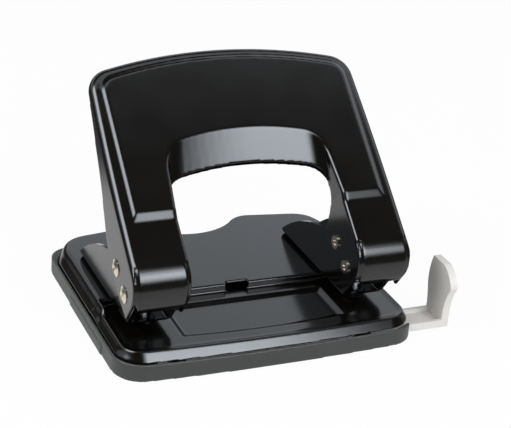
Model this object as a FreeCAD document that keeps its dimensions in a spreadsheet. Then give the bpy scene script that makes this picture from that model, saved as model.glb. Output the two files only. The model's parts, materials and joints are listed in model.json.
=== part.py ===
"""Two-hole desk punch: a pressed steel lever on two brackets over a steel base and a plastic chip tray.

Millimetres. x runs across the two holes, y from the operator to the back, z up.
The origin is the centre of the tray's underside.
"""
import FreeCAD, Part
import Sketcher
import math
import os
import re
from FreeCAD import Placement, Rotation, Vector

doc = FreeCAD.newDocument("hole_punch")

# ---------------------------------------------------------------- driving sizes
SIZES = {
    "hole_spacing": (80.0, "distance between the two holes"),
    "paper_edge_to_hole": (12.0, "paper stop to hole centre"),
    "running_clearance": (0.06, "radial play of a turning or sliding fit"),
    "side_clearance": (0.3, "gap between parts that move past each other"),
    # chip tray
    "base_margin": (15.3, "hole centre to the tray's side"),
    "base_front": (45.1, "origin to the tray's front corners"),
    "base_bow": (2.0, "bow of the front edge"),
    "base_rear": (41.7, "origin to the rear edge at the corners"),
    "rear_slope": (8.5, "slope of the rear edge, degrees"),
    "corner_radius": (10.4, "front corners of tray and base"),
    "tray_corner_radius": (8.0, "rear corners of the tray"),
    "base_corner_radius": (13.5, "rear corners of the steel base"),
    "lobe_x": (24.0, "centre of the rounded lobe beside the finger scoop"),
    "lobe_radius": (12.3, "rounded lobe beside the finger scoop"),
    "scoop_radius": (20.2, "finger scoop in the rear edge"),
    "tray_height": (6.6, "height of the tray's rim"),
    "tray_wall": (1.6, "side wall of the tray"),
    "tray_floor": (1.2, "floor of the tray"),
    "tray_rim": (1.1, "rim round the steel base"),
    "grip_rise": (0.4, "grip on the tray's side"),
    "grip_height": (3.4, "grip on the tray's side"),
    "grip_rear": (11.2, "rear end of the grip"),
    "grip_length": (36.3, "grip on the tray's side"),
    # base plate
    "base_sheet": (1.0, "steel of the base"),
    "base_side_sheet": (1.25, "level width of the sloping sides, which lean"),
    "base_edge_height": (6.1, "lower edge of the base rim"),
    "floor_height": (9.0, "paper level in front of the stop"),
    "table_height": (11.8, "raised table behind the stop"),
    "bevel_run": (2.0, "horizontal run of the rim bevel"),
    "floor_round": (2.2, "rounding between floor and bevel"),
    "table_inset": (3.0, "table side inside the tray outline, at the top"),
    "table_round": (1.8, "rounding of the table's side and rear edge"),
    "stop_round": (0.6, "rounding over the paper stop"),
    "notch_width": (8.4, "centre notch in the paper stop"),
    "notch_depth": (1.8, "centre notch, from the stop to the back"),
    "label_margin": (9.5, "hole centre to the label recess"),
    "label_front": (35.2, "front corners of the label recess, ahead of the origin"),
    "label_bow": (1.6, "bow of its front edge"),
    "label_rear": (14.0, "rear of the label recess, ahead of the origin"),
    "label_depth": (0.9, "depth of the label recess"),
    "label_slope": (2.2, "run of the sloped border of the recess"),
    # brackets
    "bracket_width": (16.0, "outer width over both cheeks"),
    "bracket_sheet": (1.5, "steel of the brackets"),
    "bracket_web": (1.2, "web that lies on the table"),
    "bracket_bend": (2.1, "outer radius between web and cheek"),
    "bracket_lean": (36.0, "lean of the cheek's front edge, degrees"),
    "bracket_rear": (24.5, "rear tip of the cheeks"),
    "bracket_tip": (2.2, "height of the cheek at its rear tip"),
    "bracket_knee_y": (-4.7, "a point on the sloping upper edge"),
    "bracket_knee": (17.3, "its height above the table"),
    "cheek_round": (6.5, "round of the cheeks over the drive rivet"),
    "cheek_slope": (27.0, "slope behind that round, degrees"),
    "fulcrum_round": (5.0, "round of the cheeks ahead of the fulcrum rivet"),
    "shoulder_slope": (22.6, "slope of the edge between the two rounds, degrees"),
    "slope_radius": (70.0, "gentle round of the sloping upper edge"),
    # pivots
    "fulcrum_y": (-31.4, "fulcrum rivet"),
    "fulcrum_z": (25.7, "fulcrum rivet"),
    "arm_y": (8.93, "drive rivet behind the fulcrum"),
    "arm_z": (5.34, "drive rivet above the fulcrum"),
    "punch_y": (10.46, "punch axis behind the fulcrum"),
    "rivet_diameter": (4.0, "shank"),
    "rivet_head": (6.0, "head"),
    "rivet_head_height": (0.9, "head"),
    "rivet_dimple": (2.8, "dimple in the head"),
    "rivet_tail": (4.9, "rolled end"),
    "rivet_tail_height": (0.6, "rolled end"),
    "rivet_bore": (2.2, "hollow of the rolled end"),
    "drive_travel": (5.2, "drop of the drive rivet over the full stroke"),
    # punches
    "punch_diameter": (6.0, "cutting diameter"),
    "punch_tip": (0.4, "cutting edge above the web's underside at rest"),
    "punch_head": (9.8, "head that the drive rivet crosses"),
    "punch_head_below": (4.2, "head below the drive rivet"),
    "punch_head_above": (3.9, "head above the drive rivet"),
    "slot_slack": (0.2, "vertical play of the rivet in its slot, each way"),
    "slot_run": (1.9, "horizontal play of the rivet in its slot"),
    "punch_hollow": (0.9, "depth of the concave cutting face"),
    "spring_wire": (0.9, "return spring"),
    "spring_diameter": (8.4, "mean diameter"),
    "spring_turns": (5.0, "active turns"),
    "spring_steps": (12.0, "straight lengths in one turn"),
    "washer_diameter": (10.6, "spring washer"),
    "washer_height": (0.8, "spring washer"),
    "die_width": (15.0, "die plate"),
    "die_length": (18.0, "die plate"),
    "die_height": (2.0, "die plate"),
    "die_clearance": (0.05, "radial cutting clearance"),
    # lever
    "lever_angle": (38.8, "plate above the horizontal at rest"),
    "lever_drop": (13.4, "plate above the fulcrum, square to the plate"),
    "lever_back": (0.84, "fulcrum behind the front line, along the plate"),
    "lever_sheet": (1.2, "steel of the lever"),
    "lever_side_gap": (1.3, "bracket to the lever's long flange"),
    "lever_taper": (1.3, "lever's side drawn in at the upper corners"),
    "lever_belly": (0.7, "share of that taper still left halfway up"),
    "lever_length": (84.2, "front line to the crown of the upper edge"),
    "lever_crown": (7.0, "upper corners to the crown of the upper edge"),
    "lever_corner_radius": (9.0, "upper corners"),
    "lever_leg_length": (24.0, "straight part of the side edges"),
    "lever_bend": (2.6, "outer radius of the long edges"),
    "leg_gap": (0.4, "bracket to the inner flange of the leg"),
    "cutout_top": (51.3, "front line to the crown of the cut-out"),
    "cutout_crown": (4.5, "cut-out's upper corners to its crown"),
    "cutout_radius": (9.0, "upper corners of the cut-out"),
    "cutout_taper": (1.8, "cut-out drawn in at its upper corners"),
    "cutout_bend": (1.4, "outer radius along the cut-out"),
    "lip_length": (11.0, "sloped lip at the top of the cut-out, along the plate"),
    "lip_depth": (5.2, "sloped lip, square to the plate"),
    "field_rise": (0.9, "embossed field"),
    "field_border": (3.2, "run of the field's lower slope"),
    "field_side": (1.6, "run of the field's side slopes"),
    "field_margin": (4.3, "lever's side to the side of the field's foot"),
    "field_top_margin": (3.3, "crown of the upper edge to the crown of the field's foot"),
    "field_crown": (6.3, "field's upper corners to its crown"),
    "field_radius": (6.4, "upper corners of the field"),
    "field_bottom": (19.9, "front line to the foot of the field"),
    "drum_start": (4.5, "front line to where the plate rolls down"),
    "drum_radius": (11.0, "outer radius of the rolled front"),
    "drum_turn": (12.0, "roll past the vertical, degrees"),
    "drum_face": (2.5, "straight strip below the roll"),
    "drum_curl": (6.0, "outer radius of the lower curl"),
    "drum_curl_turn": (38.0, "turn of the lower curl, degrees"),
    "drum_gap": (0.6, "relief between the roll and the side flange"),
    "drum_inner_gap": (0.35, "relief between the roll and the inner flange"),
    "drum_corner": (3.0, "lower corners of the roll"),
    "flange_top_depth": (3.9, "depth of the flange at the upper edge"),
    "flange_top_length": (12.2, "crown of the upper edge to where the flange begins to widen"),
    "flange_mid_at": (50.0, "a point on the flange's free edge, along the plate"),
    "flange_mid_depth": (8.5, "depth there"),
    "flange_knee_at": (35.4, "where the free edge turns down"),
    "flange_knee_depth": (12.9, "depth there"),
    "flange_heel_at": (16.9, "rear corner of the flange at the rivets"),
    "flange_heel_depth": (20.1, "depth there"),
    "flange_sole_at": (9.2, "lower edge of the flange below the rivets"),
    "flange_sole_depth": (21.0, "depth there"),
    "flange_toe": (6.2, "front tip of the flange ahead of the front line"),
    "flange_toe_depth": (18.2, "depth there"),
    "flange_setback": (0.7, "front edge of the flange inside the roll"),
    "inner_lip_at": (36.0, "inner flange where it joins the sloped lip"),
    "inner_lip_depth": (6.6, "depth there"),
    "inner_knee_at": (25.0, "where the inner flange's free edge turns down"),
    "inner_knee_depth": (9.4, "depth there"),
    "inner_heel_at": (20.0, "rear corner of the inner flange at the rivets"),
    "inner_heel_depth": (16.6, "depth there"),
    # paper guide
    "guide_y": (-35.95, "middle of the guide bar"),
    "guide_width": (11.4, "guide bar"),
    "guide_height": (2.8, "guide bar"),
    "guide_wall": (1.3, "walls of the guide bar"),
    "guide_end": (68.9, "outer end at rest"),
    "guide_length": (110.0, "guide bar"),
    "guide_stop": (2.8, "thickness of the upright stop"),
    "guide_stop_height": (23.4, "upright stop above the bar's underside"),
    "guide_stop_lean": (6.0, "reach of the stop's head over its foot, towards the front"),
    "guide_stop_round": (5.0, "corners of the stop's head"),
    "guide_stop_back": (1.0, "bulge of the stop behind its foot"),
    "guide_stop_belly": (3.0, "bulge of the stop ahead of its foot"),
    "runner_sheet": (0.6, "steel of the runners that carry the guide bar"),
    "runner_length": (6.0, "runner along the bar"),
    "runner_x": (34.5, "middle of each runner"),
    "runner_lip": (3.0, "lip under the bar"),
    # rivets between bracket and base
    "seat_rivet_diameter": (3.0, "shank"),
    "seat_rivet_head": (5.2, "head"),
    "seat_rivet_height": (0.9, "head"),
    "seat_rivet_front": (0.0, "front rivet of each bracket"),
    "seat_rivet_pitch": (14.0, "front rivet to rear rivet"),
}

sheet = doc.addObject("Spreadsheet::Sheet", "sizes")
for row, (alias, (number, note)) in enumerate(SIZES.items(), start=1):
    sheet.set(f"A{row}", note)
    sheet.set(f"B{row}", str(number))
    sheet.setAlias(f"B{row}", alias)
doc.recompute()


# Sizes that follow others: half widths go out from the two holes and the brackets round them,
# and what lies up the plate is set from the lever's upper edge.
FOLLOWING = {
    "base_half_width": "(hole_spacing / 2 + base_margin)",
    "label_half_width": "(hole_spacing / 2 - label_margin)",
    "lever_half_width": "(hole_spacing / 2 + bracket_width / 2 + lever_side_gap + lever_sheet)",
    "lever_top_half_width": "(lever_half_width - lever_taper)",
    "leg_inner": "(hole_spacing / 2 - bracket_width / 2 - leg_gap - lever_sheet)",
    "cutout_top_inner": "(leg_inner - cutout_taper)",
    "field_half_width": "(lever_half_width - field_margin)",
    "lever_corner_length": "(lever_length - lever_crown)",
    "cutout_corner_length": "(cutout_top - cutout_crown)",
    "field_top": "(lever_length - field_top_margin)",
    "field_corner_length": "(field_top - field_crown)",
}


def bound(text):
    """The expression text with each size written as a cell of the sheet."""
    def cell(match):
        word = match.group()
        if word in FOLLOWING:
            return bound(FOLLOWING[word])
        return "sizes." + word if word in SIZES else word

    return re.sub(r"[a-z_]+", cell, text)


def size(text):
    """The present value of an expression in the sheet's sizes."""
    return float(sheet.evalExpression(bound(text)))


class Sizes:
    """The sheet's numbers as plain attributes, for the shells made with Part's own functions."""

    def __init__(self):
        for name in SIZES:
            setattr(self, name, float(sheet.get(name)))
        for name in FOLLOWING:
            setattr(self, name, size(name))


mm = Sizes()
NODES = []
SIDES = (("left", -1), ("right", 1))
UP = Vector(0, 0, 1)
ALONG_X = Vector(1, 0, 0)
ALONG_Y = Vector(0, 1, 0)
WIRE_SIDES = 6
MITRED = 1
TOUCH = 0.01


# ---------------------------------------------------------------- helpers
def direction(degrees):
    """Unit vector in the xy plane."""
    return Vector(math.cos(math.radians(degrees)), math.sin(math.radians(degrees)), 0)


def arc_about(centre, radius, start, middle, end):
    """Arc of a circle through three directions given in degrees."""
    ends = [centre + direction(turn) * radius for turn in (start, middle, end)]
    return Part.Arc(*ends).toShape()


def shell_part(name, shape):
    """A sub-part made with Part's own functions."""
    feature = doc.addObject("Part::Feature", name)
    feature.Label = name
    feature.Shape = shape
    feature.Placement = Placement()
    NODES.append(feature)
    return feature


def upright_edges(shape, keep):
    """Edges parallel to z whose foot passes the test."""
    picked = []
    for edge in shape.Edges:
        if len(edge.Vertexes) < 2:
            continue
        low, high = sorted((v.Point for v in edge.Vertexes), key=lambda point: point.z)
        if (high - low).Length > TOUCH and abs((high - low).normalize().z) > 0.999 and keep(low):
            picked.append(edge)
    return picked


def block(x_range, y_range, z_range):
    """Box between the given limits."""
    low = Vector(x_range[0], y_range[0], z_range[0])
    spans = [pair[1] - pair[0] for pair in (x_range, y_range, z_range)]
    return Part.makeBox(*spans, low)


# ---------------------------------------------------------------- outline shared by tray and base
def outline_prism(inset, low, high, rear_corner):
    """Prism of the base outline, moved inwards by inset, with the given radius at the rear corners."""
    half = mm.base_half_width - inset
    front = inset - mm.base_front
    lobe = mm.lobe_radius - inset
    scoop = mm.scoop_radius + inset
    lobe_y = mm.base_rear + (mm.base_half_width - mm.lobe_x) * math.tan(math.radians(mm.rear_slope))
    lobe_y -= mm.lobe_radius / math.cos(math.radians(mm.rear_slope))
    lobe_right = Vector(mm.lobe_x, lobe_y, low)
    scoop_rise = math.sqrt((lobe + scoop) ** 2 - mm.lobe_x ** 2)
    scoop_centre = Vector(0, lobe_y + scoop_rise, low)
    meet = math.degrees(math.atan2(scoop_rise, -mm.lobe_x))
    leave = 90 - mm.rear_slope
    tangent = lobe_right + direction(leave) * lobe
    corner_y = tangent.y - (half - tangent.x) * math.tan(math.radians(mm.rear_slope))
    corners = [Vector(half, front, low), Vector(half, corner_y, low)]
    mirrored = [Vector(-point.x, point.y, low) for point in corners]
    crown = Vector(0, front - mm.base_bow, low)
    edges = [
        Part.Arc(mirrored[0], crown, corners[0]).toShape(),
        Part.makeLine(corners[0], corners[1]),
        Part.makeLine(corners[1], tangent),
        arc_about(lobe_right, lobe, leave, (leave + meet) / 2, meet),
        arc_about(scoop_centre, scoop, meet - 180, -90, -meet),
        arc_about(Vector(-mm.lobe_x, lobe_y, low), lobe, 180 - meet, 180 - (leave + meet) / 2, 180 - leave),
        Part.makeLine(Vector(-tangent.x, tangent.y, low), mirrored[1]),
        Part.makeLine(mirrored[1], mirrored[0]),
    ]
    prism = Part.Face(Part.Wire(edges)).extrude(UP * (high - low))
    rear = upright_edges(prism, lambda foot: abs(foot.x) > half - TOUCH and foot.y > 0)
    prism = prism.makeFillet(rear_corner - inset / 2, rear)
    ahead = upright_edges(prism, lambda foot: abs(foot.x) > half - TOUCH and foot.y < 0)
    return prism.makeFillet(mm.corner_radius - inset / 2, ahead)


def outline_wire(inset, level):
    """Closed wire of the steel base's outline at a level."""
    prism = outline_prism(inset, level, level + 1, mm.base_corner_radius)
    return min(prism.Faces, key=lambda face: face.CenterOfMass.z).OuterWire


def tapered(low_inset, low, high_inset, high):
    """Solid between two outlines at two levels."""
    wires = [outline_wire(low_inset, low), outline_wire(high_inset, high)]
    return Part.makeLoft(wires, True, True)


# ---------------------------------------------------------------- chip tray
GUIDE_BOTTOM = "(tray_floor + side_clearance + runner_sheet + running_clearance)"


def chip_tray():
    """Open plastic tray whose rim stands round the steel base, with a grip on each side."""
    wall_top = mm.base_edge_height - mm.side_clearance
    above = mm.tray_height + mm.side_clearance
    tray = outline_prism(0, 0, mm.tray_height, mm.tray_corner_radius)
    for _, sign in SIDES:
        tray = tray.fuse(grip(sign))
    tray = tray.cut(outline_prism(mm.tray_wall, mm.tray_floor, above, mm.base_corner_radius))
    tray = tray.cut(outline_prism(mm.tray_rim, wall_top, above, mm.base_corner_radius))
    notch = block(
        (mm.base_half_width - mm.corner_radius, mm.base_half_width + mm.tray_rim),
        guide_side(mm.side_clearance),
        (guide_bottom() - mm.side_clearance, above),
    )
    return tray.cut(notch)


def grip(sign):
    """Raised strip on the tray's side for pulling the tray off."""
    outer = mm.base_half_width + mm.grip_rise
    inner = mm.base_half_width - mm.tray_wall / 2
    corners = (
        (inner, 0), (outer, 0), (outer, mm.grip_height), (mm.base_half_width, mm.grip_height + mm.grip_rise),
        (inner, mm.grip_height + mm.grip_rise), (inner, 0),
    )
    front = mm.grip_rear - mm.grip_length
    section = Part.makePolygon([Vector(sign * x, front, z) for x, z in corners])
    return Part.Face(section).extrude(ALONG_Y * mm.grip_length)


def guide_bottom():
    """Underside of the guide bar, on the runners' lips just above the tray floor."""
    return size(GUIDE_BOTTOM)


def guide_side(gap):
    """Front and back of the guide bar, with a gap round it."""
    half = mm.guide_width / 2 + gap
    return (mm.guide_y - half, mm.guide_y + half)


shell_part("chip_tray", chip_tray())


# ---------------------------------------------------------------- steel base
def stop_y():
    """Paper stop, the standard distance behind the punch axes."""
    return mm.fulcrum_y + mm.punch_y + mm.paper_edge_to_hole


def rounded_top(solid, radius):
    """The solid with its upper rim rounded."""
    top = solid.BoundBox.ZMax
    return solid.makeFillet(radius, [edge for edge in solid.Edges if edge.BoundBox.ZMin > top - TOUCH])


def beyond(solid, along, sign):
    """The part of the solid behind (sign 1) or ahead of (sign -1) a place along y."""
    reach = 2 * mm.base_half_width
    sides = (along, along + sign * reach)
    return solid.common(block((-reach, reach), (min(sides), max(sides)), (0, 2 * mm.table_height)))


def label_dish(depth, grow):
    """Shallow dish between the legs that would carry a label; its front edge is bowed like the base."""
    wires = []
    for rise, spread in ((0, 0), (-depth, -mm.label_slope)):
        half = mm.label_half_width + grow + spread
        rear = grow + spread - mm.label_rear
        front = -mm.label_front - grow - spread
        level = mm.floor_height + rise - (mm.base_sheet if grow else 0)
        corners = [Vector(half, front, level), Vector(half, rear, level)]
        corners += [Vector(-point.x, point.y, level) for point in reversed(corners)]
        edges = [Part.makeLine(start, end) for start, end in zip(corners, corners[1:])]
        edges.append(Part.Arc(corners[-1], Vector(0, front - mm.label_bow, level), corners[0]).toShape())
        wires.append(Part.Wire(edges))
    return Part.makeLoft(wires, True, True)


def stop_edges(solid, level):
    """Long edges of the paper stop's wall at a level."""
    picked = []
    for edge in solid.Edges:
        box = edge.BoundBox
        on_wall = max(abs(box.YMin - stop_y()), abs(box.YMax - stop_y())) < TOUCH
        at_level = max(abs(box.ZMin - level), abs(box.ZMax - level)) < TOUCH
        if on_wall and at_level and box.XLength > mm.label_half_width:
            picked.append(edge)
    return picked


def base_plate():
    """Pressed steel pan with a bevelled rim, a raised table and a label recess."""
    edge_low = mm.base_edge_height
    seat = mm.tray_rim + mm.side_clearance / 2
    shelf = rounded_top(tapered(seat, edge_low, seat + mm.bevel_run, mm.floor_height), mm.floor_round)
    table = rounded_top(tapered(seat, edge_low, mm.table_inset, mm.table_height), mm.table_round)
    outside = beyond(shelf, stop_y(), -1).fuse(beyond(table, stop_y(), 1)).removeSplitter()
    outside = outside.makeFillet(mm.stop_round, stop_edges(outside, mm.table_height))
    outside = outside.cut(label_dish(mm.label_depth, 0))
    inner = seat + mm.base_side_sheet
    floor_below = mm.floor_height - mm.base_sheet
    table_below = mm.table_height - mm.base_sheet
    bevel_share = (floor_below - edge_low) / (mm.floor_height - edge_low)
    side_share = (table_below - edge_low) / (mm.table_height - edge_low)
    low_hollow = tapered(inner, edge_low, inner + mm.bevel_run * bevel_share, floor_below)
    high_hollow = tapered(inner, edge_low, inner + (mm.table_inset - seat) * side_share, table_below)
    inside = beyond(low_hollow, stop_y() + mm.base_sheet, -1)
    inside = inside.fuse(beyond(high_hollow, stop_y() + mm.base_sheet, 1))
    inside = inside.cut(label_dish(mm.label_depth, mm.base_sheet / 2))
    plate = outside.cut(inside).cut(block(
        (-mm.notch_width / 2, mm.notch_width / 2),
        (stop_y() - mm.side_clearance, stop_y() + mm.notch_depth),
        (mm.floor_height, 2 * mm.table_height),
    ))
    for _, sign in SIDES:
        hole = Part.makeCylinder(
            mm.punch_diameter / 2 + mm.side_clearance,
            mm.table_height,
            Vector(sign * mm.hole_spacing / 2, mm.fulcrum_y + mm.punch_y, 0),
        )
        plate = plate.cut(hole)
        for along in seat_rivet_places():
            foot = Vector(sign * mm.hole_spacing / 2, along, 0)
            plate = plate.cut(Part.makeCylinder(mm.seat_rivet_diameter / 2, 2 * mm.table_height, foot))
    return plate


def seat_rivet_places():
    """Places along y of the rivets between a bracket and the table."""
    return (mm.seat_rivet_front, mm.seat_rivet_front + mm.seat_rivet_pitch)


shell_part("base_plate", base_plate())


# ---------------------------------------------------------------- sketches
def new_body(name):
    """An empty body that becomes one sub-part."""
    body = doc.addObject("PartDesign::Body", name)
    body.Label = name
    NODES.append(body)
    return body


def new_sketch(body, role, name, offset=None):
    """Sketch on one of the body's own origin planes, shifted along the plane's normal."""
    sketch = body.newObject("Sketcher::SketchObject", name)
    plane = next(item for item in body.Origin.OriginFeatures if item.Role == role)
    sketch.AttachmentSupport = [(plane, "")]
    sketch.MapMode = "FlatFace"
    if offset:
        sketch.setExpression("AttachmentOffset.Base.z", bound(offset))
    return sketch


def pin_point(sketch, geometry, end, across, along):
    """Tie one point of the sketch to two expressions."""
    for kind, axis, text in (("DistanceX", -2, across), ("DistanceY", -1, along)):
        now = size(text)
        if abs(now) < 1e-9:
            sketch.addConstraint(Sketcher.Constraint("PointOnObject", geometry, end, axis))
            continue
        ends = (-1, 1, geometry, end) if now > 0 else (geometry, end, -1, 1)
        index = sketch.addConstraint(Sketcher.Constraint(kind, *ends, abs(now)))
        sketch.setExpression(f"Constraints[{index}]", bound(text if now > 0 else f"-({text})"))


def draw_loop(sketch, points):
    """Closed loop of lines through points; a point with a third item is reached by an arc of that radius."""
    places = [Vector(size(point[0]), size(point[1]), 0) for point in points]
    for number, point in enumerate(points):
        start, end = places[number - 1], places[number]
        if len(point) == 2:
            sketch.addGeometry(Part.LineSegment(start, end))
            continue
        radius = abs(size(point[2]))
        half = (end - start) / 2
        rise = math.sqrt(max(radius ** 2 - half.Length ** 2, 0))
        side = 1 if size(point[2]) > 0 else -1
        normal = Vector(-half.y, half.x, 0).normalize() * side
        centre = start + half + normal * rise
        middle = centre - normal * radius
        sketch.addGeometry(Part.Arc(start, middle, end))
    for number, point in enumerate(points):
        forward = len(point) == 2 or size(point[2]) > 0
        pin_point(sketch, number, 2 if forward else 1, point[0], point[1])
        following = (number + 1) % len(points)
        onward = len(points[following]) == 2 or size(points[following][2]) > 0
        link = Sketcher.Constraint("Coincident", number, 2 if forward else 1, following, 1 if onward else 2)
        sketch.addConstraint(link)
        if len(point) == 3:
            index = sketch.addConstraint(Sketcher.Constraint("Radius", number, abs(size(point[2]))))
            sketch.setExpression(f"Constraints[{index}]", bound(f"abs({point[2]})"))


def draw_circle(sketch, across, along, radius):
    """Circle tied to expressions."""
    centre = Vector(size(across), size(along), 0)
    number = sketch.addGeometry(Part.Circle(centre, UP, size(radius)))
    pin_point(sketch, number, 3, across, along)
    index = sketch.addConstraint(Sketcher.Constraint("Radius", number, size(radius)))
    sketch.setExpression(f"Constraints[{index}]", bound(radius))


def add_feature(body, kind, name, sketch, **settings):
    """PartDesign feature whose numbers are expressions where given as text."""
    feature = body.newObject("PartDesign::" + kind, name)
    feature.Profile = sketch
    for key, item in settings.items():
        if isinstance(item, str) and hasattr(getattr(feature, key), "Value"):
            feature.setExpression(key, bound(item))
        else:
            setattr(feature, key, item)
    doc.recompute()
    return feature


def round_edges(body, name, radius, keep):
    """Rounds the edges of the body's last feature whose bounding boxes pass the test."""
    last = body.Tip
    edges = enumerate(last.Shape.Edges, start=1)
    picked = [f"Edge{number}" for number, edge in edges if keep(edge.BoundBox)]
    feature = body.newObject("PartDesign::Fillet", name)
    feature.Base = (last, picked)
    feature.setExpression("Radius", bound(radius))
    doc.recompute()
    return feature


def long_at(box, level):
    """True for an edge that runs along y at a level."""
    return abs(box.ZMin - level) < TOUCH and abs(box.ZMax - level) < TOUCH and box.YLength > mm.bracket_width


def place(body, x="0", y="0", z="0"):
    """Tie the body's place to expressions."""
    for axis, text in (("x", x), ("y", y), ("z", z)):
        body.setExpression("Placement.Base." + axis, bound(text))


# ---------------------------------------------------------------- brackets
CHEEK_FRONT = "fulcrum_y - fulcrum_round"
CHEEK_TOP = "fulcrum_z + arm_z + cheek_round"
LEAN_Y = "(fulcrum_y - fulcrum_round * cos(bracket_lean))"
LEAN_Z = "(fulcrum_z - fulcrum_round * sin(bracket_lean))"
BRACKET_FRONT = f"{LEAN_Y} + ({LEAN_Z} - table_height) * tan(bracket_lean)"


def bracket(name, sign):
    """U-shaped bracket: a web on the table and two cheeks that carry the rivets."""
    body = new_body(name)
    side = new_sketch(body, "YZ_Plane", name + "_side", "-bracket_width / 2")
    drive_y = "(fulcrum_y + arm_y)"
    drive_z = "fulcrum_z + arm_z"
    outline = [
        (BRACKET_FRONT, "table_height"),
        ("bracket_rear", "table_height"),
        ("bracket_rear", "table_height + bracket_tip"),
        ("bracket_knee_y", "table_height + bracket_knee", "slope_radius"),
        (f"{drive_y} + cheek_round * sin(cheek_slope)", f"{drive_z} + cheek_round * cos(cheek_slope)",
         "slope_radius * 2"),
        (f"{drive_y} - cheek_round * sin(shoulder_slope)", f"{drive_z} + cheek_round * cos(shoulder_slope)",
         "cheek_round"),
        ("fulcrum_y - fulcrum_round * sin(shoulder_slope)",
         "fulcrum_z + fulcrum_round * cos(shoulder_slope)"),
        (LEAN_Y, LEAN_Z, "fulcrum_round"),
    ]
    draw_loop(side, outline)
    add_feature(body, "Pad", name + "_block", side, Length="bracket_width")
    round_edges(body, name + "_bends", "bracket_bend", lambda box: long_at(box, mm.table_height))
    channel = new_sketch(body, "YZ_Plane", name + "_channel", "bracket_sheet - bracket_width / 2")
    margin = "cheek_round"
    draw_loop(channel, [
        (f"{CHEEK_FRONT} - {margin}", "table_height + bracket_web"),
        (f"bracket_rear + {margin}", "table_height + bracket_web"),
        (f"bracket_rear + {margin}", f"{CHEEK_TOP} + {margin}"),
        (f"{CHEEK_FRONT} - {margin}", f"{CHEEK_TOP} + {margin}"),
    ])
    trough = "bracket_width - 2 * bracket_sheet"
    add_feature(body, "Pocket", name + "_trough", channel, Length=trough, Reversed=True)
    web_top = mm.table_height + mm.bracket_web
    inner_bend = "bracket_bend - bracket_sheet"
    round_edges(body, name + "_inner_bends", inner_bend, lambda box: long_at(box, web_top))
    bores = new_sketch(body, "YZ_Plane", name + "_bores", "-bracket_width / 2")
    draw_circle(bores, "fulcrum_y", "fulcrum_z", "rivet_diameter / 2 + running_clearance")
    add_feature(body, "Pocket", name + "_fulcrum_bore", bores, Length="bracket_width", Reversed=True)
    opening = new_sketch(body, "YZ_Plane", name + "_drive_slot", "-bracket_width / 2")
    low = "fulcrum_z + arm_z - drive_travel - rivet_diameter / 2 - side_clearance"
    high = "fulcrum_z + arm_z + rivet_diameter / 2 + side_clearance"
    near = f"{drive_y} - rivet_diameter / 2 - side_clearance"
    far = f"{drive_y} + rivet_diameter / 2 + side_clearance + slot_run"
    draw_loop(opening, [(near, low), (far, low), (far, high), (near, high)])
    add_feature(body, "Pocket", name + "_drive_window", opening, Length="bracket_width", Reversed=True)
    guide = new_sketch(body, "XY_Plane", name + "_guide", "table_height")
    draw_circle(guide, "0", "fulcrum_y + punch_y", "punch_diameter / 2 + running_clearance")
    draw_circle(guide, "0", "seat_rivet_front", "seat_rivet_diameter / 2")
    draw_circle(guide, "0", "seat_rivet_front + seat_rivet_pitch", "seat_rivet_diameter / 2")
    add_feature(body, "Pocket", name + "_punch_guide", guide, Length="bracket_web", Reversed=True)
    place(body, x=f"{sign} * hole_spacing / 2")
    return body


for side_name, sign in SIDES:
    bracket("bracket_" + side_name, sign)


# ---------------------------------------------------------------- lever
# Worked out in the lever's own frame: y runs up the plate from the front fold, z is square to the plate.
def lever_outline(inset, level):
    """Plate outline: straight legs, slightly rounded sides and a crowned upper edge."""
    half = mm.lever_half_width - inset
    top_half = mm.lever_top_half_width - inset
    foot = -mm.lever_leg_length
    shoulder = mm.lever_corner_length - inset
    crown = Vector(0, mm.lever_length - inset, level)
    half_way = (mm.lever_leg_length + shoulder) / 2
    bulge = top_half + (half - top_half) * mm.lever_belly
    edges = []
    for sign in (1, -1):
        corner = Vector(sign * top_half, shoulder, level)
        knee = Vector(sign * half, mm.lever_leg_length, level)
        edges.append(Part.makeLine(Vector(sign * half, foot, level), knee))
        edges.append(Part.Arc(knee, Vector(sign * bulge, half_way, level), corner).toShape())
    edges.append(Part.Arc(edges[1].Vertexes[-1].Point, crown, edges[3].Vertexes[-1].Point).toShape())
    edges.append(Part.makeLine(Vector(-half, foot, level), Vector(half, foot, level)))
    return Part.Wire(Part.__sortEdges__(edges))


def lever_prism(inset, bend, low, high):
    """Prism of the plate outline with rounded corners and a rounded upper edge."""
    prism = Part.Face(lever_outline(inset, low)).extrude(UP * (high - low))
    shoulder = mm.lever_corner_length - inset
    prism = prism.makeFillet(
        mm.lever_corner_radius - inset,
        upright_edges(prism, lambda foot: abs(foot.y - shoulder) < TOUCH),
    )
    rim = [
        edge for edge in prism.Edges
        if edge.BoundBox.ZMin > high - TOUCH and edge.BoundBox.YMax > 0
    ]
    return prism.makeFillet(bend, rim)


def leg_half(along):
    """Half width of the cut-out at a place above the straight part of the legs."""
    share = (along - mm.lever_leg_length) / (mm.cutout_corner_length - mm.lever_leg_length)
    return mm.leg_inner - (mm.leg_inner - mm.cutout_top_inner) * share


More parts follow.
